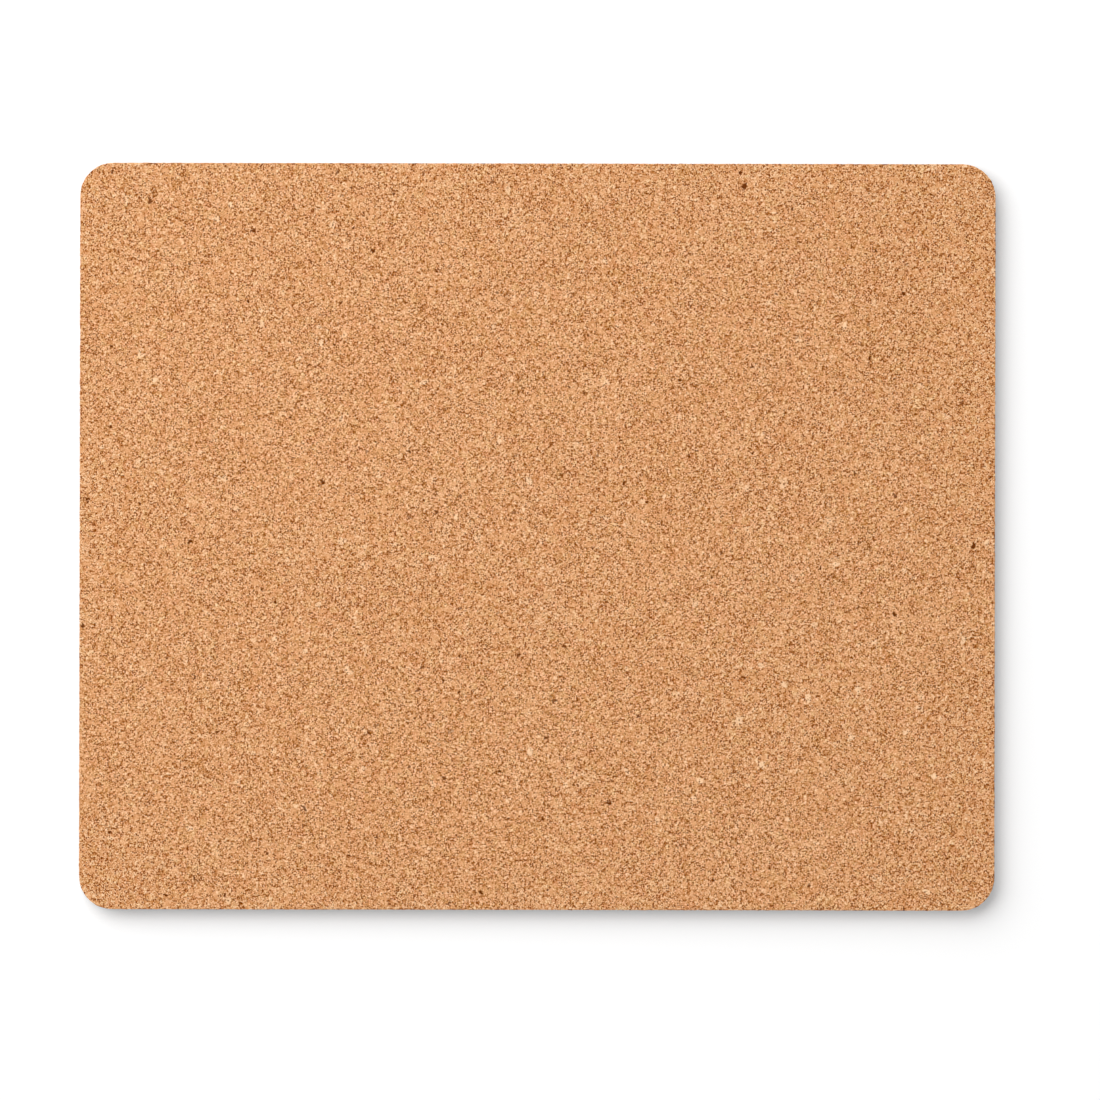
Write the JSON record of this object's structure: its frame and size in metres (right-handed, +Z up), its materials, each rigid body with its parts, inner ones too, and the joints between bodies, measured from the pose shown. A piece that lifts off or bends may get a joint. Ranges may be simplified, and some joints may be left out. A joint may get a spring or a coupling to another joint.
{
  "type": "mouse pad",
  "caption": "Flat rounded-rectangle mouse pad: a sheet of fine agglomerated cork bonded to a thin non-slip rubber base that lies on the desk.",
  "frame": {"origin": "on the desk, under the middle of the pad", "axes": "+X along the pad's longer side, to the right as the user sits; +Y away from the user; +Z up, out of the cork face"},
  "size_m": [0.22, 0.1794, 0.004],
  "materials": {
    "cork": "sanded agglomerated cork, matt",
    "adhesive": "dry amber laminating glue",
    "rubber": "matt black foam rubber, embossed below"
  },
  "bodies": {
    "root": {"cork_sheet": "cork", "adhesive_film": "adhesive", "rubber_base": "rubber"}
  },
  "joints": []
}
